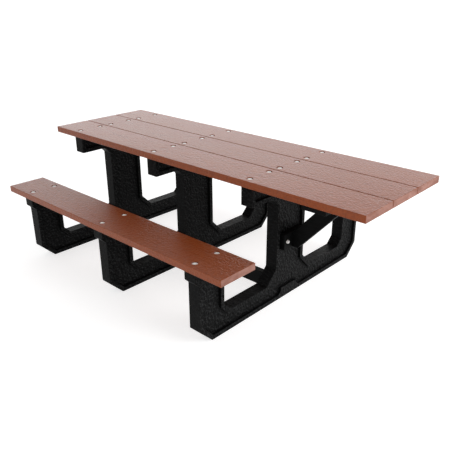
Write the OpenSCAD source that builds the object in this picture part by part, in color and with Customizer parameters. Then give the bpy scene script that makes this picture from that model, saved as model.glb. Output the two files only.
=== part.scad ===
// Picnic table with three moulded frames, two bench seats and a tabletop that overhangs one end.
// X runs along the planks, with the overhang at +X. Y runs across the table and Z is up.
// The origin is on the floor, midway along and across the tabletop.

/* [Planks] */
// Length of the tabletop planks along X
top_length = 2438; // [2300:1:2600]
// Height of the tabletop's upper face above the floor
top_height = 807; // [790:1:830]
// Height of the seats' upper face above the floor
seat_height = 473; // [450:1:485]
// Width of each plank
plank_width = 247; // [240:1:252]
// Thickness of each plank
plank_thickness = 39; // [34:1:44]
// Gap between neighbouring tabletop planks
plank_gap = 4; // [2:1:10]
// Radius of the planks' long edges
plank_edge_radius = 3; // [2:0.5:10]
// Distance from the table's centre line to the middle of each seat
seat_centre = 659; // [650:1:690]

/* [Frames] */
// Distance from the planks' left end to the middle of the first frame
frame_inset = 218; // [150:1:260]
// Distance between the middles of neighbouring frames
frame_pitch = 758; // [700:1:790]
// Thickness of each frame along X
frame_thickness = 78; // [70:1:90]
// Width of the seat posts
post_width = 183; // [175:1:200]
// Overhang of the seat shelf on each side of its post
shelf_overhang = 25; // [15:1:27]
// Height of the seat shelf's straight edge
shelf_edge = 50; // [40:1:70]
// Size of the chamfer under each seat post's outer side
foot_chamfer = 88; // [60:1:100]
// Height of the base rail
rail_height = 127; // [115:1:140]
// Size of the chamfer between the rail and a seat post
post_chamfer = 48; // [35:1:60]
// Width of the central column
column_width = 260; // [250:1:290]
// Size of the chamfer between the rail and the column
column_chamfer = 86; // [70:1:95]
// Distance from the tabletop's long edges to the ends of the bar under it
bar_inset = 21.5; // [12:0.5:30]
// Height of the bar under the tabletop
bar_height = 111; // [100:1:125]
// Size of the chamfer between the bar and the column
bar_chamfer = 45; // [35:1:60]
// Width of the raised rim round each face of a frame
rim_width = 26; // [20:1:30]
// Depth of the recess inside the rim
recess_depth = 14; // [8:1:18]
// Length of the raised pad in the middle of the base
pad_length = 154; // [120:1:180]
// Height of the raised pad above the rest of the rim
pad_rise = 42; // [30:1:50]

/* [Longitudinal stringers] */
// Thickness of the boards cut from the stringer stock
board_thickness = 38; // [35:1:42]
// Width of the stringer and brace boards
board_width = 89; // [80:1:95]
// Distance from the centre line to the middle of the stringers
stringer_offset = 141; // [125:1:150]
// Height of the stringers' lower edge above the floor
stringer_height = 90; // [80:1:95]
// Diameter of the stringers' dowels
dowel_diameter = 12; // [10:1:14]
// Length of the stringers' dowels
dowel_length = 70; // [60:1:76]

/* [Overhang brace] */
// Slope of the brace above the horizontal
brace_angle = 47.5; // [45:0.5:50]
// Height of the brace's vertical foot cut
brace_foot = 90; // [80:1:95]
// Height of the brace's lower end above the floor
brace_height = 330; // [310:1:360]
// Width of the cleat that carries the brace, across the column
cleat_width = 184; // [170:1:190]
// Height of the cleat
cleat_height = 98; // [96:1:110]
// Width along X of the batten under the overhang
batten_width = 140; // [135:1:170]
// Distance from the tabletop's long edges to the ends of the batten under the overhang
batten_inset = 32.5; // [15:0.5:35]

/* [Fasteners] */
// Distance between the two screws across a plank
screw_spacing = 157; // [150:1:160]
// Diameter of the plank screws' shanks
screw_diameter = 9.5; // [8:0.5:11]
// Length of the plank screws under their heads
screw_length = 90; // [75:1:100]
// Diameter of the plank screws' heads
screw_head_diameter = 20; // [17:0.5:22]
// Diameter of the washers under the plank screws
washer_diameter = 30; // [26:1:32]
// Thickness of every washer
washer_thickness = 2.5; // [1.5:0.1:3]
// Diameter of the round recess for each plank screw
counterbore_diameter = 36; // [34:1:40]
// Depth of the round recess for each plank screw
counterbore_depth = 8; // [7:0.5:12]
// Distance between the two bolts through the cleat
cleat_bolt_spacing = 130; // [120:1:135]
// Diameter of the bolts through the cleat
bolt_diameter = 10; // [8:1:12]
// Width across the corners of the bolt heads and nuts
hexagon_width = 19.5; // [18:0.5:23]
// Diameter of the countersunk screws in the brace and the batten
small_screw_diameter = 6; // [5:0.5:7]
// Radial clearance round every screw, bolt and dowel
hole_clearance = 0.3; // [0.2:0.05:0.8]

/* [Hidden] */
$fn = 64;

plank_brown = "#8a4433";
moulded_black = "#1c1d1e";
board_black = "#222324";
bright_steel = "#c9ccce";

// Planks
plank_pitch = plank_width + plank_gap;
plank_rows = [-plank_pitch, 0, plank_pitch];
left_end = -top_length / 2;
seat_length = 2 * (frame_inset + frame_pitch);
tabletop_half = plank_pitch + plank_width / 2;
top_underside = top_height - plank_thickness;
seat_underside = seat_height - plank_thickness;

// Frames
frame_places = [for (i = [0:2]) left_end + frame_inset + i * frame_pitch];
half_thickness = frame_thickness / 2;
web_thickness = frame_thickness - 2 * recess_depth;
post_inner = seat_centre - post_width / 2;
post_outer = seat_centre + post_width / 2;
shelf_inner = post_inner - shelf_overhang;
shelf_outer = post_outer + shelf_overhang;
shelf_bottom = seat_underside - shelf_edge;
column_half = column_width / 2;
bar_underside = top_underside - bar_height;
bar_half = tabletop_half - bar_inset;
pad_half = pad_length / 2;
pad_slope = pad_rise / 2;

// Overhang brace
brace_front = frame_places[2] + half_thickness - recess_depth;
brace_start = brace_front + board_thickness;
cleat_bottom = brace_height - (cleat_height - brace_foot) / 2;
cleat_middle = cleat_bottom + cleat_height / 2;
batten_underside = top_underside - board_thickness;
batten_half = tabletop_half - batten_inset;
brace_drop = board_width / cos(brace_angle);
foot_cut = (brace_drop - brace_foot) / tan(brace_angle);
brace_top_near = brace_start + (batten_underside - brace_height - brace_foot) / tan(brace_angle);
brace_top_far = brace_start + foot_cut + (batten_underside - brace_height) / tan(brace_angle);
batten_middle = (brace_top_near + brace_top_far) / 2;
brace_foot_screw_heights = [brace_height + 0.25 * brace_foot, brace_height + 0.75 * brace_foot];
brace_head_screw_places = [batten_middle - 30, batten_middle + 30];
batten_screw_rows = [for (row = plank_rows, side = [-1, 1]) row + side * screw_spacing / 2];

// Fasteners
screw_head_height = counterbore_depth - washer_thickness;
pilot_depth = screw_length - (plank_thickness - screw_head_height) + 4;
socket_width = 7;
socket_depth = 3;
cleat_bolt_rows = [-cleat_bolt_spacing / 2, cleat_bolt_spacing / 2];
bolt_head_height = 6.5;
nut_height = 8.5;
cleat_washer_diameter = hexagon_width + 2;
bolt_reach = board_thickness + web_thickness + 2 * washer_thickness + nut_height + 1;
foot_screw_length = 90;
head_screw_length = 90;
batten_screw_length = board_thickness + 22;
dowel_heights = [stringer_height + 0.25 * board_width, stringer_height + 0.7 * board_width];
dowel_embedment = web_thickness / 2 - 1;

// A plank along X from x = 0, lying on z = 0, with rounded long edges
module plank_blank(length) {
    r = plank_edge_radius;
    rotate([90, 0, 90])
        linear_extrude(length)
            translate([0, plank_thickness / 2]) {
                square([plank_width - 2 * r, plank_thickness], center = true);
                square([plank_width, plank_thickness - 2 * r], center = true);
                for (side = [-1, 1], level = [-1, 1])
                    translate([side * (plank_width / 2 - r), level * (plank_thickness / 2 - r)])
                        circle(r);
            }
}

// The clearance hole and the round recess for one plank screw, from the plank's upper face down
module plank_screw_hole() {
    translate([0, 0, -counterbore_depth])
        cylinder(h = counterbore_depth + 1, d = counterbore_diameter);
    translate([0, 0, -plank_thickness - 1])
        cylinder(h = plank_thickness + 1, d = screw_diameter + 2 * hole_clearance);
}

// Repeats its children at both screws of one plank
module screw_pair(row) {
    for (side = [-1, 1])
        translate([0, row + side * screw_spacing / 2, 0])
            children();
}

// Repeats its children at every frame
module each_frame() {
    for (place = frame_places)
        translate([place, 0, 0])
            children();
}

module tabletop_plank(row) {
    color(plank_brown)
        difference() {
            translate([left_end, row, top_underside])
                plank_blank(top_length);
            each_frame()
                translate([0, 0, top_height])
                    screw_pair(row)
                        plank_screw_hole();
            for (side = [-1, 1])
                translate([batten_middle, row + side * screw_spacing / 2, top_underside - 1])
                    cylinder(h = batten_screw_length - board_thickness + 4,
                             d = small_screw_diameter + 2 * hole_clearance);
        }
}

module seat_plank(side) {
    color(plank_brown)
        difference() {
            translate([left_end, side * seat_centre, seat_underside])
                plank_blank(seat_length);
            each_frame()
                translate([0, 0, seat_height])
                    screw_pair(side * seat_centre)
                        plank_screw_hole();
        }
}

// Half of a frame's outline in Y and Z, with every edge moved inwards by inset.
// The slopes are all at 45 degrees, so the ends of each slope move by inset * tan(22.5).
function half_outline(inset) =
    let (k = inset * tan(22.5))
    [
        [post_outer - foot_chamfer - k, inset],
        [post_outer - inset, foot_chamfer + k],
        [post_outer - inset, shelf_bottom - shelf_overhang + k],
        [shelf_outer - inset, shelf_bottom + k],
        [shelf_outer - inset, seat_underside - inset],
        [shelf_inner + inset, seat_underside - inset],
        [shelf_inner + inset, shelf_bottom + k],
        [post_inner + inset, shelf_bottom - shelf_overhang + k],
        [post_inner + inset, rail_height + post_chamfer - k],
        [post_inner - post_chamfer + k, rail_height - inset],
        [column_half + column_chamfer - k, rail_height - inset],
        [column_half - inset, rail_height + column_chamfer - k],
        [column_half - inset, bar_underside - bar_chamfer + k],
        [column_half + bar_chamfer - k, bar_underside + inset],
        [bar_half - inset, bar_underside + inset],
        [bar_half - inset, top_underside - inset]
    ];

// The rim's raised pad in the middle of the base
function pad_outline(inset) = [
    [0, inset + pad_rise],
    [pad_half, inset + pad_rise],
    [pad_half, inset + pad_slope],
    [pad_half + pad_slope, inset]
];

function mirrored(points) = [for (i = [len(points) - 1:-1:0]) [-points[i][0], points[i][1]]];

// A flat shape in Y and Z, made solid along X between two places
module across_x(from, to) {
    translate([from, 0, 0])
        rotate([90, 0, 90])
            linear_extrude(to - from)
                children();
}

module frame_body() {
    outer = half_outline(0);
    inner = concat(pad_outline(rim_width), half_outline(rim_width));
    difference() {
        across_x(-half_thickness, half_thickness)
            polygon(concat(outer, mirrored(outer)));
        for (face = [0, 1])
            mirror([face, 0, 0])
                across_x(half_thickness - recess_depth, half_thickness + 1)
                    polygon(concat(inner, mirrored(inner)));
    }
}

// The pilot hole under one plank screw, from the frame's bearing face down
module pilot_hole() {
    translate([0, 0, -pilot_depth])
        cylinder(h = pilot_depth + 1, d = screw_diameter + 2 * hole_clearance);
}

module dowel_holes(face) {
    web = half_thickness - recess_depth;
    start = face > 0 ? web - dowel_embedment - 1 : -web - 1;
    for (height = dowel_heights)
        translate([start, -stringer_offset, height])
            rotate([0, 90, 0])
                cylinder(h = dowel_embedment + 2, d = dowel_diameter + 2 * hole_clearance);
}

module frame(index) {
    color(moulded_black)
        translate([frame_places[index], 0, 0])
            difference() {
                frame_body();
                translate([0, 0, top_underside])
                    for (row = plank_rows)
                        screw_pair(row)
                            pilot_hole();
                translate([0, 0, seat_underside])
                    for (side = [-1, 1])
                        screw_pair(side * seat_centre)
                            pilot_hole();
                if (index < 2) dowel_holes(1);
                if (index > 0) dowel_holes(-1);
                if (index == 2)
                    for (row = cleat_bolt_rows)
                        translate([-half_thickness, row, cleat_middle])
                            rotate([0, 90, 0])
                                cylinder(h = frame_thickness, d = bolt_diameter + 2 * hole_clearance);
            }
}

// A board between two frames, cut to sit inside their rims
module stringer(index) {
    start = frame_places[index] + half_thickness - recess_depth;
    stop = frame_places[index + 1] - half_thickness + recess_depth;
    color(board_black)
        difference() {
            translate([start, -stringer_offset - board_thickness / 2, stringer_height])
                cube([stop - start, board_thickness, board_width]);
            for (i = [index, index + 1])
                translate([frame_places[i], 0, 0])
                    frame_body();
            for (end = [start, stop], height = dowel_heights)
                translate([end, -stringer_offset, height])
                    rotate([0, 90, 0])
                        cylinder(h = 2 * (dowel_length - dowel_embedment + 1), center = true,
                                 d = dowel_diameter + 2 * hole_clearance);
        }
}

module stringer_dowels() {
    web = half_thickness - recess_depth;
    color(bright_steel)
        for (index = [0, 1], height = dowel_heights) {
            translate([frame_places[index] + web - dowel_embedment, -stringer_offset, height])
                rotate([0, 90, 0])
                    cylinder(h = dowel_length, d = dowel_diameter);
            translate([frame_places[index + 1] - web + dowel_embedment, -stringer_offset, height])
                rotate([0, -90, 0])
                    cylinder(h = dowel_length, d = dowel_diameter);
        }
}

// The block on the right frame's column that carries the brace
module brace_cleat() {
    color(board_black)
        difference() {
            translate([brace_front, -cleat_width / 2, cleat_bottom])
                cube([board_thickness, cleat_width, cleat_height]);
            for (row = cleat_bolt_rows)
                translate([brace_front - 1, row, cleat_middle])
                    rotate([0, 90, 0])
                        cylinder(h = board_thickness + 2, d = bolt_diameter + 2 * hole_clearance);
            for (height = brace_foot_screw_heights)
                translate([brace_front, 0, height])
                    rotate([0, 90, 0])
                        countersunk_hole(board_thickness + 1);
        }
}

module overhang_brace() {
    color(board_black)
        difference() {
            translate([0, board_thickness / 2, 0])
                rotate([90, 0, 0])
                    linear_extrude(board_thickness)
                        polygon([
                            [brace_start, brace_height],
                            [brace_start + foot_cut, brace_height],
                            [brace_top_far, batten_underside],
                            [brace_top_near, batten_underside],
                            [brace_start, brace_height + brace_foot]
                        ]);
            for (height = brace_foot_screw_heights)
                translate([brace_start - 1, 0, height])
                    rotate([0, 90, 0])
                        cylinder(h = foot_screw_length - board_thickness + 4,
                                 d = small_screw_diameter + 2 * hole_clearance);
            for (place = brace_head_screw_places)
                translate([place, 0, batten_underside + 1])
                    rotate([180, 0, 0])
                        cylinder(h = head_screw_length - board_thickness + 4,
                                 d = small_screw_diameter + 2 * hole_clearance);
        }
}

// The board that ties the overhanging planks together and takes the brace's upper end
module overhang_batten() {
    color(board_black)
        difference() {
            translate([batten_middle - batten_width / 2, -batten_half, batten_underside])
                cube([batten_width, 2 * batten_half, board_thickness]);
            for (place = brace_head_screw_places)
                translate([place, 0, top_underside])
                    rotate([180, 0, 0])
                        countersunk_hole(board_thickness + 1);
            for (row = batten_screw_rows)
                translate([batten_middle, row, batten_underside])
                    countersunk_hole(board_thickness + 1);
        }
}

// A washer lying on z = 0
module washer(outer, inner) {
    difference() {
        cylinder(h = washer_thickness, d = outer);
        translate([0, 0, -1])
            cylinder(h = washer_thickness + 2, d = inner + 2 * hole_clearance);
    }
}

// A pointed screw with a domed socket head, its head resting on z = 0
module plank_screw() {
    tip = screw_diameter;
    dome = screw_head_diameter;
    difference() {
        intersection() {
            cylinder(h = screw_head_height, d = screw_head_diameter);
            translate([0, 0, screw_head_height - dome])
                sphere(r = dome);
        }
        translate([0, 0, screw_head_height - socket_depth])
            cylinder(h = socket_depth + 1, d = socket_width / cos(30), $fn = 6);
    }
    translate([0, 0, tip - screw_length])
        cylinder(h = screw_length - tip, d = screw_diameter);
    translate([0, 0, -screw_length])
        cylinder(h = tip, d1 = 1, d2 = screw_diameter);
}

// The hole for a countersunk screw, entering at z = 0 and going up
module countersunk_hole(depth) {
    d = small_screw_diameter + 2 * hole_clearance;
    translate([0, 0, -1])
        cylinder(h = depth + 1, d = d);
    translate([0, 0, -0.01])
        cylinder(h = small_screw_diameter / 2 + 0.01, d1 = 2 * d, d2 = d);
}

// A countersunk screw with its flat head at z = 0, pointing up
module countersunk_screw(length) {
    d = small_screw_diameter;
    cylinder(h = d / 2, d1 = 2 * d, d2 = d);
    cylinder(h = length - d, d = d);
    translate([0, 0, length - d])
        cylinder(h = d, d1 = d, d2 = 1);
}

module top_screws(index) {
    color(bright_steel)
        translate([frame_places[index], 0, top_height - screw_head_height])
            for (row = plank_rows)
                screw_pair(row)
                    plank_screw();
}

module top_washers(index) {
    color(bright_steel)
        translate([frame_places[index], 0, top_height - counterbore_depth])
            for (row = plank_rows)
                screw_pair(row)
                    washer(washer_diameter, screw_diameter);
}

module seat_screws(side) {
    color(bright_steel)
        each_frame()
            translate([0, 0, seat_height - screw_head_height])
                screw_pair(side * seat_centre)
                    plank_screw();
}

module seat_washers(side) {
    color(bright_steel)
        each_frame()
            translate([0, 0, seat_height - counterbore_depth])
                screw_pair(side * seat_centre)
                    washer(washer_diameter, screw_diameter);
}

// Repeats its children at both bolts of the cleat, with z = 0 at the given place and +Z along +X
module at_cleat_bolts(place) {
    for (row = cleat_bolt_rows)
        translate([place, row, cleat_middle])
            rotate([0, 90, 0])
                children();
}

module cleat_bolts() {
    color(bright_steel)
        at_cleat_bolts(brace_start + washer_thickness) {
            cylinder(h = bolt_head_height, d = hexagon_width, $fn = 6);
            translate([0, 0, -bolt_reach])
                cylinder(h = bolt_reach, d = bolt_diameter);
        }
}

module cleat_washers() {
    color(bright_steel) {
        at_cleat_bolts(brace_start)
            washer(cleat_washer_diameter, bolt_diameter);
        at_cleat_bolts(brace_front - web_thickness - washer_thickness)
            washer(cleat_washer_diameter, bolt_diameter);
    }
}

module cleat_nuts() {
    color(bright_steel)
        at_cleat_bolts(brace_front - web_thickness - washer_thickness - nut_height)
            difference() {
                cylinder(h = nut_height, d = hexagon_width, $fn = 6);
                translate([0, 0, -1])
                    cylinder(h = nut_height + 2, d = bolt_diameter + 2 * hole_clearance);
            }
}

// Screws through the cleat's hidden back into the foot of the brace
module brace_foot_screws() {
    color(bright_steel)
        for (height = brace_foot_screw_heights)
            translate([brace_front, 0, height])
                rotate([0, 90, 0])
                    countersunk_screw(foot_screw_length);
}

// Screws down through the batten into the head of the brace
module brace_head_screws() {
    color(bright_steel)
        for (place = brace_head_screw_places)
            translate([place, 0, top_underside])
                rotate([180, 0, 0])
                    countersunk_screw(head_screw_length);
}

// Screws up through the batten into the three tabletop planks
module batten_screws() {
    color(bright_steel)
        for (row = batten_screw_rows)
            translate([batten_middle, row, batten_underside])
                countersunk_screw(batten_screw_length);
}

tabletop_plank(plank_rows[0]);  // tabletop_plank_front
tabletop_plank(plank_rows[1]);  // tabletop_plank_middle
tabletop_plank(plank_rows[2]);  // tabletop_plank_rear
seat_plank(-1);  // seat_plank_front
seat_plank(1);  // seat_plank_rear
frame(0);  // frame_left
frame(1);  // frame_middle
frame(2);  // frame_right
stringer(0);  // stringer_left
stringer(1);  // stringer_right
stringer_dowels();
brace_cleat();
overhang_brace();
overhang_batten();
top_screws(0);  // top_screws_left
top_screws(1);  // top_screws_middle
top_screws(2);  // top_screws_right
top_washers(0);  // top_washers_left
top_washers(1);  // top_washers_middle
top_washers(2);  // top_washers_right
seat_screws(-1);  // seat_screws_front
seat_screws(1);  // seat_screws_rear
seat_washers(-1);  // seat_washers_front
seat_washers(1);  // seat_washers_rear
cleat_bolts();
cleat_washers();
cleat_nuts();
brace_foot_screws();
brace_head_screws();
batten_screws();
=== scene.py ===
"""Picnic table: three moulded black frames under brown recycled-plastic planks, with a bench seat
on each side and a tabletop that overhangs one end. Everything is in metres, in the CAD frame."""

import math

import bmesh
import bpy
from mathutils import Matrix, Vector


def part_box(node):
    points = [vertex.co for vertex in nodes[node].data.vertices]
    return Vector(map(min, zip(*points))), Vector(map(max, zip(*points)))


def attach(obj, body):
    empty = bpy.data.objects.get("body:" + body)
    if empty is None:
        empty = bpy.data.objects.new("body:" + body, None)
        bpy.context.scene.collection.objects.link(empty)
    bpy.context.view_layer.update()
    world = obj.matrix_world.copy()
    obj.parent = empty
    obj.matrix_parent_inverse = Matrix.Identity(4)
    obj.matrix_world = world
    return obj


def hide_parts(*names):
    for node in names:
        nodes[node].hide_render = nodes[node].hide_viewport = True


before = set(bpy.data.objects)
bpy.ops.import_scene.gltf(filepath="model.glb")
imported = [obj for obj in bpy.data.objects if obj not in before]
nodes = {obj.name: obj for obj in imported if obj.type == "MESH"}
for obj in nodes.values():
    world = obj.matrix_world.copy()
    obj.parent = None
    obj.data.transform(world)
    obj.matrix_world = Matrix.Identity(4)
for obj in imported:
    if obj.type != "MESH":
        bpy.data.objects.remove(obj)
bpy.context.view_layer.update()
scene = bpy.context.scene


# ---------------------------------------------------------------- material graphs

class Graph:
    """A material's node tree, with short ways to add nodes and to wire them."""

    def __init__(self, name):
        self.material = bpy.data.materials.new(name)
        self.material.use_nodes = True
        self.tree = self.material.node_tree
        self.shader = self.tree.nodes["Principled BSDF"]

    def put(self, socket, value):
        """Wires an output to the socket, or sets the socket's own value."""
        if isinstance(value, bpy.types.NodeSocket):
            self.tree.links.new(value, socket)
        else:
            socket.default_value = value

    def add(self, kind, values=None, **settings):
        """Adds a shader node, with its settings and its inputs by name or number."""
        node = self.tree.nodes.new("ShaderNode" + kind)
        for name, value in settings.items():
            setattr(node, name, value)
        for key, value in (values or {}).items():
            self.put(node.inputs[key], value)
        return node

    def math(self, operation, a, b=0.0, c=0.0):
        return self.add("Math", {0: a, 1: b, 2: c}, operation=operation).outputs[0]

    def place(self):
        """The point on the surface, in the object's own metres."""
        return self.add("TexCoord").outputs["Object"]

    def stretched(self, scale, turn=(0.0, 0.0, 0.0)):
        """The same point, turned and then scaled along each axis."""
        node = self.add("Mapping", {"Vector": self.place(), "Scale": scale, "Rotation": turn})
        return node.outputs["Vector"]

    def noise(self, vector, scale, detail=4.0, rough=0.55, distortion=0.0):
        node = self.add("TexNoise", {"Vector": vector, "Scale": scale, "Detail": detail,
                                     "Roughness": rough, "Distortion": distortion})
        return node.outputs["Fac"]

    def spread(self, value, low, high, to_low=0.0, to_high=1.0):
        """Runs from to_low to to_high as the value goes from low to high."""
        node = self.add("MapRange", {"Value": value, "From Min": low, "From Max": high,
                                     "To Min": to_low, "To Max": to_high})
        return node.outputs["Result"]

    def mix(self, factor, a, b):
        """Colour a, turning into colour b as the factor goes from 0 to 1."""
        node = self.add("Mix", data_type="RGBA")
        self.put(node.inputs["Factor"], factor)
        self.put([s for s in node.inputs if s.name == "A" and s.type == "RGBA"][0], a)
        self.put([s for s in node.inputs if s.name == "B" and s.type == "RGBA"][0], b)
        return [s for s in node.outputs if s.type == "RGBA"][0]

    def bump(self, height, distance, strength, under=None):
        """A normal tilted by a height, over the normal of the relief under it."""
        node = self.add("Bump", {"Height": height, "Distance": distance, "Strength": strength})
        if under is not None:
            self.put(node.inputs["Normal"], under)
        return node.outputs["Normal"]

    def edge(self, radius):
        """1 on a sharp edge and 0 on flat ground, from how far a bevelled normal turns."""
        bevel = self.add("Bevel", {"Radius": radius}, samples=4)
        normal = self.add("NewGeometry").outputs["Normal"]
        dot = self.add("VectorMath", {0: bevel.outputs[0], 1: normal}, operation="DOT_PRODUCT")
        return self.spread(self.math("SUBTRACT", 1.0, dot.outputs["Value"]), 0.02, 0.35)

    def face_along(self, axis):
        """1 where the surface faces along an axis, either way."""
        normal = self.add("NewGeometry").outputs["Normal"]
        parts = self.add("SeparateXYZ", {0: normal})
        return self.spread(self.math("ABSOLUTE", parts.outputs[axis]), 0.85, 0.97)


def rgb(r, g, b):
    """A colour given as it looks on screen, 0 to 255, turned into linear light."""
    def linear(v):
        v /= 255
        return v / 12.92 if v <= 0.04045 else ((v + 0.055) / 1.055) ** 2.4
    return (linear(r), linear(g), linear(b), 1.0)


def grey(level):
    """A faintly cool grey, in linear light."""
    return (0.97 * level, level, 1.03 * level, 1.0)


PLANK_DARK, PLANK_LIGHT, PLANK_CLOUD = rgb(124, 54, 14), rgb(134, 62, 19), rgb(127, 59, 21)
PLANK_DARK_AND_HOLLOW_SHADE, PLANK_FLECK, PLANK_WORN = rgb(92, 40, 16), rgb(150, 84, 54), rgb(144, 80, 52)
PAINTED_END_SHEEN_DARK, PAINTED_END_SHEEN_LIGHT, SAWN_LINE = rgb(120, 76, 62), rgb(146, 106, 94), rgb(108, 66, 54)
STEEL_BRIGHT, STEEL_DULL = (0.98, 0.965, 0.94, 1), (0.86, 0.85, 0.83, 1)

# Cells a metre in each skin, the heights of its relief in metres, and the width of worn edges; on the
# moulded frames the pale edges are partly wear and partly a painted highlight
PLANK_SKIN_SCALE, PLANK_RELIEF = 88.0, 0.0042
MOULDED_SKIN_SCALE, MOULDED_RELIEF = 68.0, 0.009
BOARD_RELIEF = 0.0010
PLANK_WEAR_WIDTH, MOULDED_WEAR_AND_HIGHLIGHT_WIDTH, BOARD_WEAR_WIDTH = 0.0035, 0.0035, 0.003

# Distance from one tabletop plank to the next
plank_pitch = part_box("tabletop_plank_rear")[0].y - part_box("tabletop_plank_middle")[0].y
# How far the moulded skin is compared with itself to find the pebbles' upper and lower sides, which
# get a painted highlight and painted shade
PAINTED_LIGHT_STEP = (0.0016, 0.0016, 0.0046)
# How far from a corner the painted crease shade still darkens the moulded plastic
PAINTED_CREASE_SHADE_REACH = 0.025


def plank_plastic():
    """Brown recycled plastic: a pebbled skin over a faint grain along X, with sawn ends whose paler,
    pinker colour is a painted sheen.
    """
    g = Graph("recycled_plastic_brown")
    # Rows as wide as a tabletop plank, each with its own random number that moves its pattern along
    parts = g.add("SeparateXYZ", {0: g.place()})
    row = g.math("ROUND", g.math("DIVIDE", parts.outputs["Y"], plank_pitch))
    own = g.add("TexWhiteNoise", {"W": row}, noise_dimensions="1D").outputs["Value"]
    moved = g.add("CombineXYZ", {0: g.math("MULTIPLY", own, 9.0), 1: own, 2: own})
    along = g.add("VectorMath", {0: g.place(), 1: moved.outputs[0]}, operation="ADD").outputs[0]
    grain_space = g.add("Mapping", {"Vector": along, "Scale": (1.0, 14.0, 14.0)}).outputs[0]

    pebble = g.noise(along, PLANK_SKIN_SCALE, 1.5, 0.5, 0.2)
    grain = g.noise(grain_space, 7.0, 6.0, 0.62, 0.9)
    cloud = g.noise(along, 3.1, 3.0, 0.5)
    fleck = g.noise(along, 420.0, 2.0, 0.5)

    tone = g.mix(g.spread(grain, 0.36, 0.64), PLANK_DARK, PLANK_LIGHT)
    tone = g.mix(g.spread(cloud, 0.3, 0.7, 0.0, 0.35), tone, PLANK_CLOUD)
    # Painted shade in the pebbles' hollows
    tone = g.mix(g.spread(pebble, 0.52, 0.30, 0.0, 0.40), tone, PLANK_DARK_AND_HOLLOW_SHADE)
    tone = g.mix(g.spread(fleck, 0.62, 0.75, 0.0, 0.20), tone, PLANK_FLECK)
    # Each row of planks a little darker at random
    tone = g.mix(g.math("MULTIPLY", own, 0.16), tone, PLANK_DARK_AND_HOLLOW_SHADE)
    sawn = g.face_along("X")
    saw_lines = g.noise(g.stretched((30.0, 420.0, 3.0)), 1.0, 3.0, 0.6, 0.4)
    patch = g.noise(g.stretched((9.0, 9.0, 22.0)), 1.6, 3.0, 0.55)
    # The sawn ends' paler, pinker colour is a painted sheen, patchy, with darker saw lines in it
    painted_end_sheen_tone = g.mix(g.spread(patch, 0.35, 0.65), PAINTED_END_SHEEN_DARK, PAINTED_END_SHEEN_LIGHT)
    painted_end_sheen_tone = g.mix(g.spread(saw_lines, 0.4, 0.7, 0.0, 0.25), painted_end_sheen_tone, SAWN_LINE)
    tone = g.mix(sawn, tone, painted_end_sheen_tone)
    pale_edge = g.math("MULTIPLY", g.edge(PLANK_WEAR_WIDTH), g.spread(grain, 0.35, 0.6, 0.1, 0.45))
    tone = g.mix(pale_edge, tone, PLANK_WORN)
    g.put(g.shader.inputs["Base Color"], tone)

    rough = g.spread(g.math("ADD", g.math("MULTIPLY", grain, 0.6), g.math("MULTIPLY", fleck, 0.4)),
                     0.35, 0.65, 0.26, 0.38)
    rough = g.math("MAXIMUM", rough, g.math("MULTIPLY", sawn, 0.62))
    g.put(g.shader.inputs["Roughness"], rough)
    g.shader.inputs["Specular IOR Level"].default_value = 0.26

    lengthways = g.math("SUBTRACT", 1.0, sawn)
    skin = g.math("ADD", pebble, g.math("MULTIPLY", grain, 0.05))
    skin = g.math("MULTIPLY", skin, lengthways)
    cut = g.math("MULTIPLY", saw_lines, sawn)
    normal = g.bump(g.noise(along, 900.0, 2.0), 0.00008, 0.6)
    normal = g.bump(g.math("ADD", skin, g.math("MULTIPLY", cut, 0.2)), PLANK_RELIEF, 0.6, normal)
    g.put(g.shader.inputs["Normal"], normal)
    return g.material


def moulded_plastic():
    """Black moulded plastic with a coarse leathery skin and soft flow marks, painted highlights and
    shade on its pebbles, and painted shade in its creases.
    """
    g = Graph("moulded_plastic_black")
    place = g.place()
    pebble = g.noise(place, MOULDED_SKIN_SCALE, 2.0, 0.5, 0.4)
    # The skin's height here less its height a step up: where the painted highlight and painted shade
    # go
    lifted = g.add("VectorMath", {0: place, 1: PAINTED_LIGHT_STEP}, operation="ADD").outputs[0]
    relief = g.math("SUBTRACT", pebble, g.noise(lifted, MOULDED_SKIN_SCALE, 2.0, 0.5, 0.4))
    pore = g.noise(place, 620.0, 3.0, 0.6)
    flow = g.noise(g.stretched((1.0, 1.0, 1.7)), 5.5, 5.0, 0.6, 1.4)
    cloud = g.noise(place, 2.2, 3.0, 0.5)
    # The pebbles count for most on the frames' two faces, and get a painted highlight on their upper
    # sides and painted shade on their lower sides
    broad = g.math("MULTIPLY_ADD", g.face_along("X"), 0.6, 0.4)
    tone = g.mix(g.spread(flow, 0.3, 0.7), grey(0.0021), grey(0.0036))
    tone = g.mix(g.spread(cloud, 0.35, 0.7, 0.0, 0.5), tone, grey(0.0060))
    # Painted highlight on the pebbles' upper sides, then painted shade on their lower sides
    tone = g.mix(g.math("MULTIPLY", g.spread(relief, 0.015, 0.15), broad), tone, grey(0.0195))
    tone = g.mix(g.math("MULTIPLY", g.spread(relief, -0.015, -0.13), broad), tone, grey(0.0006))
    # Paler edges along the rims: partly wear, partly a painted highlight
    pale_edge = g.math("MULTIPLY", g.edge(MOULDED_WEAR_AND_HIGHLIGHT_WIDTH), g.spread(flow, 0.35, 0.65, 0.25, 0.65))
    tone = g.mix(pale_edge, tone, grey(0.045))
    # Painted shade in creases and corners, from ambient occlusion
    painted_crease_shade = g.add("AmbientOcclusion", {"Distance": PAINTED_CREASE_SHADE_REACH}, samples=4).outputs["AO"]
    tone = g.mix(g.spread(painted_crease_shade, 0.90, 0.50), tone, grey(0.0003))
    g.put(g.shader.inputs["Base Color"], tone)
    g.put(g.shader.inputs["Roughness"], g.spread(flow, 0.3, 0.7, 0.40, 0.52))
    g.shader.inputs["Specular IOR Level"].default_value = 0.035
    normal = g.bump(pore, 0.0003, 0.3)
    normal = g.bump(g.math("MULTIPLY", pebble, broad), MOULDED_RELIEF, 0.8, normal)
    g.put(g.shader.inputs["Normal"], normal)
    return g.material


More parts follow.
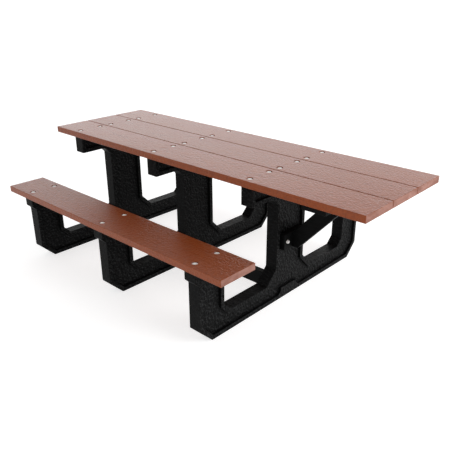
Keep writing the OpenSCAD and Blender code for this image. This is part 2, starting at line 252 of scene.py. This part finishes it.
def board_plastic(name, scale, turn=(0.0, 0.0, 0.0)):
    """Black recycled-plastic board with its grain along the board."""
    g = Graph(name)
    space = g.stretched(scale, turn)
    grain = g.noise(space, 6.0, 6.0, 0.62, 0.8)
    fibre = g.noise(space, 24.0, 4.0, 0.65, 0.2)
    pore = g.noise(g.place(), 500.0, 2.0, 0.6)
    tone = g.mix(g.spread(grain, 0.35, 0.65), grey(0.0015), grey(0.0035))
    tone = g.mix(g.spread(fibre, 0.5, 0.75, 0.0, 0.5), tone, grey(0.0090))
    pale_edge = g.math("MULTIPLY", g.edge(BOARD_WEAR_WIDTH), g.spread(grain, 0.4, 0.6, 0.05, 0.4))
    tone = g.mix(pale_edge, tone, grey(0.035))
    g.put(g.shader.inputs["Base Color"], tone)
    g.put(g.shader.inputs["Roughness"], g.spread(fibre, 0.3, 0.7, 0.44, 0.62))
    g.shader.inputs["Specular IOR Level"].default_value = 0.05
    normal = g.bump(pore, 0.00012, 0.5)
    ridges = g.math("ADD", grain, g.math("MULTIPLY", fibre, 0.6))
    normal = g.bump(ridges, BOARD_RELIEF, 0.45, normal)
    g.put(g.shader.inputs["Normal"], normal)
    return g.material


def bright_steel():
    """Stainless steel: satin, with fine scratches and faint handling marks."""
    g = Graph("steel")
    g.shader.inputs["Metallic"].default_value = 0.7
    place = g.place()
    satin = g.noise(g.stretched((1.0, 7.0, 1.0)), 260.0, 3.0, 0.6)
    mark = g.noise(place, 130.0, 3.0, 0.6, 0.8)
    tone = g.mix(g.spread(mark, 0.35, 0.7), STEEL_BRIGHT, STEEL_DULL)
    g.put(g.shader.inputs["Base Color"], tone)
    g.put(g.shader.inputs["Roughness"], g.spread(mark, 0.3, 0.7, 0.34, 0.50))
    normal = g.bump(satin, 0.00006, 0.5)
    g.put(g.shader.inputs["Normal"], normal)
    return g.material


# The brace's slope above the horizontal
BRACE_ANGLE = math.radians(47.5)

brown = plank_plastic()
moulded = moulded_plastic()
board_along_x = board_plastic("board_black_along", (1.0, 12.0, 12.0))
board_across = board_plastic("board_black_across", (12.0, 1.0, 12.0))
board_sloping = board_plastic("board_black_sloping", (1.0, 12.0, 12.0), (0.0, BRACE_ANGLE, 0.0))
steel = bright_steel()


# ---------------------------------------------------------------- mesh pieces

# Room round each screw, bolt and dowel
HOLE_CLEARANCE = 0.0003


def new_object(name, mesh):
    piece = bpy.data.objects.new(name, mesh)
    scene.collection.objects.link(piece)
    return piece


def mesh_from(name, bm):
    """Turns the bmesh into a mesh, with its normals pointing outwards."""
    bmesh.ops.recalc_face_normals(bm, faces=bm.faces)
    mesh = bpy.data.meshes.new(name)
    bm.to_mesh(mesh)
    bm.free()
    return mesh


def drilled(piece, cutter_mesh):
    """Cuts the shape in cutter_mesh out of the piece, for good."""
    cutter = new_object(piece.name + "_cutter", cutter_mesh)
    cut = piece.modifiers.new("cut", "BOOLEAN")
    cut.operation = "DIFFERENCE"
    cut.solver = "EXACT"
    cut.object = cutter
    bpy.context.view_layer.update()
    solved = piece.evaluated_get(bpy.context.evaluated_depsgraph_get())
    mesh = bpy.data.meshes.new_from_object(solved)
    piece.modifiers.clear()
    old = piece.data
    piece.data = mesh
    bpy.data.objects.remove(cutter)
    bpy.data.meshes.remove(old)
    bpy.data.meshes.remove(cutter_mesh)


def room_for(piece, *names):
    """Cuts holes for the named CAD fasteners out of the piece, with the CAD's clearance."""
    cuts = bmesh.new()
    for name in names:
        cuts.from_mesh(nodes[name].data)
    bmesh.ops.remove_doubles(cuts, verts=cuts.verts, dist=1e-6)
    bmesh.ops.recalc_face_normals(cuts, faces=cuts.faces)
    cuts.normal_update()
    for vert in cuts.verts:
        vert.co += HOLE_CLEARANCE * vert.normal
    drilled(piece, mesh_from(piece.name + "_cuts", cuts))


def settle(piece, material, slot_name, *replaced):
    """Gives a finished piece its material, smooth shading and body, and hides the CAD nodes it stands
    for.
    """
    mesh = piece.data
    mesh.materials.clear()
    mesh.materials.append(material)
    for polygon in mesh.polygons:
        polygon.use_smooth = True
        polygon.material_index = 0
    mesh.set_sharp_from_angle(angle=math.radians(35.0))
    even = piece.modifiers.new("flat_faces_stay_flat", "WEIGHTED_NORMAL")
    even.keep_sharp = True
    even.weight = 80
    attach(piece, "root")
    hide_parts(*replaced)


def bridge(bm, rings):
    """Joins rings of as many points each into a tube with closed ends."""
    loops = [[bm.verts.new(p) for p in ring] for ring in rings]
    count = len(loops[0])
    for lower, upper in zip(loops, loops[1:]):
        for i in range(count):
            j = (i + 1) % count
            bm.faces.new((lower[i], lower[j], upper[j], upper[i]))
    bm.faces.new(loops[0])
    bm.faces.new(loops[-1])
    bmesh.ops.recalc_face_normals(bm, faces=bm.faces)


def turned(bm, profile, centre, steps=48):
    """A closed solid of revolution about Z. The profile is (radius, height) pairs."""
    rings = []
    for radius, height in profile:
        ring = []
        for i in range(steps):
            angle = 2 * math.pi * i / steps
            offset = (radius * math.cos(angle), radius * math.sin(angle), height)
            ring.append(Vector(centre) + Vector(offset))
        rings.append(ring)
    bridge(bm, rings)


def round_edges(bm, width, segments, wanted):
    """Rounds the edges that wanted picks out."""
    bm.normal_update()
    edges = [e for e in bm.edges if len(e.link_faces) == 2 and wanted(e)]
    bmesh.ops.bevel(bm, geom=edges, offset=width, offset_type="OFFSET", segments=segments,
                    profile=0.5, affect="EDGES", clamp_overlap=False, loop_slide=False)


def sharper_than(degrees):
    """A test for edges whose faces meet at more than this angle."""
    return lambda e: e.calc_face_angle(0.0) > math.radians(degrees)


# Planks

PLANK_EDGE_RADIUS, SCREW_SPACING = 0.003, 0.157
COUNTERBORE_RADIUS, COUNTERBORE_DEPTH, LIP_RADIUS = 0.018, 0.008, 0.0010
SHANK_HOLE_RADIUS, PLANK_END_RADIUS, CORNER_STEPS = 0.00505, 0.0014, 5
BATTEN_HOLE_RADIUS, BATTEN_HOLE_DEPTH = 0.0033, 0.026
# How far a cutter runs past the face that it opens
OVERRUN = 0.001
frame_names = ["frame_left", "frame_middle", "frame_right"]
frame_places = [sum(c.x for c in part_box(n)) / 2 for n in frame_names]
batten_lo, batten_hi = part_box("overhang_batten")
batten_place = (batten_lo.x + batten_hi.x) / 2


def plank(name):
    """A plank with rounded edges, screw holes, and round recesses with softened lips."""
    lo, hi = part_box(name)
    centre = (lo + hi) / 2
    half = (hi - lo) / 2
    flat_y, flat_z = half.y - PLANK_EDGE_RADIUS, half.z - PLANK_EDGE_RADIUS
    rings = []
    for side in (-1, 1):
        turns = [0, 30, 60, 90] if side < 0 else [90, 60, 30, 0]
        for turn in turns:
            inset = PLANK_END_RADIUS * (1 - math.sin(math.radians(turn)))
            back = PLANK_END_RADIUS * (1 - math.cos(math.radians(turn)))
            radius = PLANK_EDGE_RADIUS - inset
            ring = []
            for quarter, (sy, sz) in enumerate(((1, 1), (-1, 1), (-1, -1), (1, -1))):
                for i in range(CORNER_STEPS + 1):
                    angle = math.radians(90 * (quarter + i / CORNER_STEPS))
                    ring.append((centre.x + side * (half.x - back),
                                 centre.y + sy * flat_y + radius * math.cos(angle),
                                 centre.z + sz * flat_z + radius * math.sin(angle)))
            rings.append(ring)
    bm = bmesh.new()
    bridge(bm, rings)
    piece = new_object(name + "_detailed", mesh_from(name, bm))

    cuts = bmesh.new()
    lip = [(COUNTERBORE_RADIUS + LIP_RADIUS * (1 - math.cos(math.radians(turn))),
            -LIP_RADIUS * (1 - math.sin(math.radians(turn)))) for turn in (0, 30, 60, 90)]
    profile = [(SHANK_HOLE_RADIUS, -2 * half.z - OVERRUN), (SHANK_HOLE_RADIUS, -COUNTERBORE_DEPTH),
               (COUNTERBORE_RADIUS, -COUNTERBORE_DEPTH)] + lip
    # Above the face the cutter goes on widening, so that the lip meets the face cleanly
    profile.append((COUNTERBORE_RADIUS + 1.3 * LIP_RADIUS, OVERRUN))
    for place in frame_places:
        for side in (-1, 1):
            turned(cuts, profile, (place, centre.y + side * SCREW_SPACING / 2, hi.z))
    if name.startswith("tabletop"):
        for side in (-1, 1):
            turned(cuts, [(BATTEN_HOLE_RADIUS, -OVERRUN), (BATTEN_HOLE_RADIUS, BATTEN_HOLE_DEPTH)],
                   (batten_place, centre.y + side * SCREW_SPACING / 2, lo.z), steps=16)
    drilled(piece, mesh_from(name + "_cuts", cuts))
    settle(piece, brown, "recycled_plastic_brown", name)


for plank_name in sorted(n for n in nodes if n.startswith(("tabletop_plank", "seat_plank"))):
    plank(plank_name)


# Frames

POST_WIDTH, SHELF_OVERHANG, SHELF_EDGE, FOOT_CHAMFER = 0.183, 0.025, 0.050, 0.088
RAIL_HEIGHT, POST_CHAMFER = 0.127, 0.048
COLUMN_HALF, COLUMN_CHAMFER = 0.130, 0.086
BAR_HEIGHT, BAR_CHAMFER, BAR_INSET = 0.111, 0.045, 0.0215
RIM_WIDTH, RECESS_DEPTH = 0.026, 0.014
PAD_HALF, PAD_RISE = 0.077, 0.042
OUTER_CORNER, RECESS_CORNER, RIM_RADIUS = 0.0035, 0.0025, 0.0017
# Along X, a frame's outer corners are longer than this, and the corners of its recesses shorter
RECESS_CORNER_LIMIT = 0.03
# Edges that run less than this far along X lie in a frame's face
LEAST_RUN = 0.001
# Shorter edges that the rounding leaves are closed up
SHORTEST_EDGE = 0.00005
# The plain outline has a spare point on its base, so that both outlines have as many points.
# It lies this far beyond the end of the pad's flat top.
SPARE_POINT = 0.008
# How much deeper than the recess the stringers' cutter is
COPE_SLACK = 0.0005
seat_lo, seat_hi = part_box("seat_plank_rear")
top_lo, top_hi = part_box("tabletop_plank_rear")
seat_centre = (seat_lo.y + seat_hi.y) / 2
bar_half = top_hi.y - BAR_INSET


def half_outline(inset, pad):
    """Half of the frame's outline in Y and Z, from the middle of the base round to the middle of the
    top, moved inwards by inset. With pad, the base rises over the middle as the rim does."""
    # How far the ends of a 45-degree edge slide along its neighbours as the outline moves inwards
    slide = inset * math.tan(math.radians(22.5))
    inner, outer = seat_centre - POST_WIDTH / 2, seat_centre + POST_WIDTH / 2
    shelf_inner, shelf_outer = inner - SHELF_OVERHANG, outer + SHELF_OVERHANG
    seat_under, top_under = seat_lo.z, top_lo.z
    shelf_under = seat_under - SHELF_EDGE
    bar_under = top_under - BAR_HEIGHT
    rise, slope = (PAD_RISE, PAD_RISE / 2) if pad else (0.0, 0.0)
    return [
        (0.0, inset + rise),
        (PAD_HALF, inset + rise),
        (PAD_HALF + (0.0 if pad else SPARE_POINT), inset + slope),
        (PAD_HALF + PAD_RISE / 2, inset),
        (outer - FOOT_CHAMFER - slide, inset),
        (outer - inset, FOOT_CHAMFER + slide),
        (outer - inset, shelf_under - SHELF_OVERHANG + slide),
        (shelf_outer - inset, shelf_under + slide),
        (shelf_outer - inset, seat_under - inset),
        (shelf_inner + inset, seat_under - inset),
        (shelf_inner + inset, shelf_under + slide),
        (inner + inset, shelf_under - SHELF_OVERHANG + slide),
        (inner + inset, RAIL_HEIGHT + POST_CHAMFER - slide),
        (inner - POST_CHAMFER + slide, RAIL_HEIGHT - inset),
        (COLUMN_HALF + COLUMN_CHAMFER - slide, RAIL_HEIGHT - inset),
        (COLUMN_HALF - inset, RAIL_HEIGHT + COLUMN_CHAMFER - slide),
        (COLUMN_HALF - inset, bar_under - BAR_CHAMFER + slide),
        (COLUMN_HALF + BAR_CHAMFER - slide, bar_under + inset),
        (bar_half - inset, bar_under + inset),
        (bar_half - inset, top_under - inset),
        (0.0, top_under - inset),
    ]


def whole_outline(inset, pad):
    """The half outline with its mirror image, as one ring."""
    half = half_outline(inset, pad)
    return half + [(-y, z) for y, z in half[-2:0:-1]]


def frame_solid(name, recess_depth):
    """A frame with sharp edges."""
    lo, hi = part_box(name)
    middle, half = (lo.x + hi.x) / 2, (hi.x - lo.x) / 2
    outer, inner = whole_outline(0.0, False), whole_outline(RIM_WIDTH, True)
    bm = bmesh.new()
    rings = [(inner, half - recess_depth), (inner, half), (outer, half),
             (outer, -half), (inner, -half), (inner, recess_depth - half)]
    bridge(bm, [[(middle + x, y, z) for y, z in points] for points, x in rings])
    return bm


def plain_frame(name):
    """A cutter for the stringers, whose ends rest on the bottom of the recess and aren't cut there."""
    bm = frame_solid(name, RECESS_DEPTH + COPE_SLACK)
    bmesh.ops.triangulate(bm, faces=[f for f in bm.faces if len(f.verts) > 4])
    return mesh_from(name + "_plain", bm)


def along_x(edge):
    """How far an edge runs along X."""
    return abs(edge.verts[0].co.x - edge.verts[1].co.x)


def frame_piece(name):
    """A moulded frame with rounded corners and rims, and holes for what is screwed into it."""
    bm = frame_solid(name, RECESS_DEPTH)
    bends = sharper_than(20)
    round_edges(bm, OUTER_CORNER, 4, lambda e: bends(e) and along_x(e) > RECESS_CORNER_LIMIT)
    round_edges(bm, RECESS_CORNER, 4,
                lambda e: bends(e) and LEAST_RUN < along_x(e) < RECESS_CORNER_LIMIT)
    round_edges(bm, RIM_RADIUS, 3, sharper_than(35))
    bmesh.ops.remove_doubles(bm, verts=bm.verts, dist=SHORTEST_EDGE)
    bmesh.ops.dissolve_degenerate(bm, dist=SHORTEST_EDGE, edges=bm.edges)
    bm.normal_update()
    bmesh.ops.triangulate(bm, faces=[f for f in bm.faces if len(f.verts) > 4])
    piece = new_object(name + "_detailed", mesh_from(name, bm))
    fasteners = [name.replace("frame", "top_screws"), "seat_screws_front", "seat_screws_rear",
                 "stringer_dowels"]
    if name == "frame_right":
        fasteners.append("cleat_bolts")
    room_for(piece, *fasteners)
    settle(piece, moulded, "moulded_plastic_black", name)


for frame_name in frame_names:
    frame_piece(frame_name)


# Boards

BOARD_EDGE_RADIUS, BRACE_FOOT, BOARD_WIDTH = 0.0022, 0.090, 0.089


def board(name, outline, axis, low, high, material, *fasteners):
    """A board with rounded edges, an outline extruded along X or Y, with holes for its fasteners."""
    bm = bmesh.new()
    if axis == "X":
        rings = [[(at, a, b) for a, b in outline] for at in (low, high)]
    else:
        rings = [[(a, at, b) for a, b in outline] for at in (low, high)]
    bridge(bm, rings)
    round_edges(bm, BOARD_EDGE_RADIUS, 3, sharper_than(20))
    piece = new_object(name + "_detailed", mesh_from(name, bm))
    if name.startswith("stringer"):
        for frame_name in frame_names:
            drilled(piece, plain_frame(frame_name))
    room_for(piece, *fasteners)
    settle(piece, material, "board_black", name)


def rectangle(lo, hi, a, b):
    """The outline of a box across two of its axes."""
    return [(lo[a], lo[b]), (hi[a], lo[b]), (hi[a], hi[b]), (lo[a], hi[b])]


for stringer in ("stringer_left", "stringer_right"):
    lo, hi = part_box(stringer)
    board(stringer, rectangle(lo, hi, 1, 2), "X", lo.x, hi.x, board_along_x, "stringer_dowels")
for crossing, fasteners in (("brace_cleat", ("cleat_bolts", "brace_foot_screws")),
                            ("overhang_batten", ("brace_head_screws", "batten_screws"))):
    lo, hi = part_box(crossing)
    board(crossing, rectangle(lo, hi, 0, 2), "Y", lo.y, hi.y, board_across, *fasteners)

lo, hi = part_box("overhang_brace")
foot_cut = (BOARD_WIDTH / math.cos(BRACE_ANGLE) - BRACE_FOOT) / math.tan(BRACE_ANGLE)
near_top = lo.x + (hi.z - lo.z - BRACE_FOOT) / math.tan(BRACE_ANGLE)
brace_outline = [(lo.x, lo.z), (lo.x + foot_cut, lo.z), (hi.x, hi.z), (near_top, hi.z),
                 (lo.x, lo.z + BRACE_FOOT)]
board("overhang_brace", brace_outline, "Y", lo.y, hi.y, board_sloping,
      "brace_foot_screws", "brace_head_screws")


# What no piece replaces keeps its CAD shape: screws, washers, bolts, nuts and dowels

for node in nodes.values():
    if not node.hide_render:
        if not node.material_slots:
            node.data.materials.append(steel)
        for slot in node.material_slots:
            slot.link = "OBJECT"
            slot.material = steel


# ---------------------------------------------------------------- floor, light and camera

def pale_floor():
    """A wide white floor that glows a little, so that the table's shadow stays faint."""
    mesh = bpy.data.meshes.new("floor")
    sides, radius = 96, 90.0
    turns = [2 * math.pi * i / sides for i in range(sides)]
    points = [(radius * math.cos(turn), radius * math.sin(turn), 0.0) for turn in turns]
    mesh.from_pydata(points, [], [list(range(sides))])
    floor = new_object("floor", mesh)
    g = Graph("pale_floor")
    mottle = g.noise(g.place(), 1.4, 2.0)
    g.put(g.shader.inputs["Base Color"],
          g.mix(g.spread(mottle, 0.3, 0.7), (0.54, 0.54, 0.54, 1), (0.57, 0.57, 0.57, 1)))
    g.shader.inputs["Emission Color"].default_value = (1.0, 1.0, 1.0, 1.0)
    g.shader.inputs["Emission Strength"].default_value = 0.70
    g.shader.inputs["Roughness"].default_value = 0.9
    g.shader.inputs["Specular IOR Level"].default_value = 0.1
    mesh.materials.append(g.material)


UP, BEHIND = (0.0, 0.0, 1.0), (-0.672, 0.740, 0.0)
# Each ramp has a direction, two places along it, from -1 to 1, and the strength at each.
# The sky's strength is the product of all the ramps.
SKY_RAMPS = (
    (UP, 0.18, 0.32, 3.05, 0.95),
    (UP, 0.45, 0.95, 1.0, 0.72),
    (BEHIND, -0.5, 0.5, 0.45, 1.0),
)


def soft_sky():
    """A white studio: brightest low down behind the table, dimmer overhead and on the near side."""
    world = bpy.data.worlds.new("studio")
    world.use_nodes = True
    tree = world.node_tree
    back = tree.nodes["Background"]
    coordinate = tree.nodes.new("ShaderNodeTexCoord")
    strength = back.inputs["Strength"]
    for direction, low, high, at_low, at_high in SKY_RAMPS:
        along = tree.nodes.new("ShaderNodeVectorMath")
        along.operation = "DOT_PRODUCT"
        along.inputs[1].default_value = direction
        tree.links.new(coordinate.outputs["Generated"], along.inputs[0])
        ramp = tree.nodes.new("ShaderNodeMapRange")
        tree.links.new(along.outputs["Value"], ramp.inputs["Value"])
        ramp.inputs["From Min"].default_value = low
        ramp.inputs["From Max"].default_value = high
        ramp.inputs["To Min"].default_value = at_low
        ramp.inputs["To Max"].default_value = at_high
        product = tree.nodes.new("ShaderNodeMath")
        product.operation = "MULTIPLY"
        product.inputs[1].default_value = 1.0
        tree.links.new(ramp.outputs["Result"], product.inputs[0])
        tree.links.new(product.outputs[0], strength)
        strength = product.inputs[1]
    back.inputs["Color"].default_value = (1.0, 1.0, 1.0, 1.0)
    scene.world = world


def softbox(name, place, target, size, power):
    """A rectangular lamp aimed at a point, with its power in watts."""
    data = bpy.data.lights.new(name, "AREA")
    data.shape = "RECTANGLE"
    data.size, data.size_y = size
    data.energy = power
    lamp = bpy.data.objects.new(name, data)
    lamp.location = place
    aim = (Vector(target) - Vector(place)).to_track_quat("-Z", "Y")
    lamp.rotation_euler = aim.to_euler()
    scene.collection.objects.link(lamp)


def photo_camera():
    """The photo's camera, out beyond the table's near right corner and looking down at it."""
    # Lens and place were worked out from the photo's straight edges and screws
    data = bpy.data.cameras.new("photo_camera")
    data.sensor_width = 36.0
    data.lens = 45.27
    data.shift_x = -0.0158
    data.shift_y = 0.0071
    data.clip_end = 300.0
    camera = bpy.data.objects.new("photo_camera", data)
    camera.location = (2.3132, -2.4450, 1.7463)
    camera.rotation_euler = (math.radians(90.0 - 23.725), 0.0, math.radians(42.259))
    scene.collection.objects.link(camera)
    scene.camera = camera


pale_floor()
soft_sky()
softbox("key", (4.2, 0.6, 2.6), (0.0, 0.0, 0.5), (2.6, 2.2), 110.0)
softbox("rim", (-2.2, 2.8, 3.4), (0.0, 0.0, 0.7), (2.0, 2.0), 8.0)
photo_camera()
scene.view_settings.view_transform = "Standard"
scene.view_settings.look = "None"
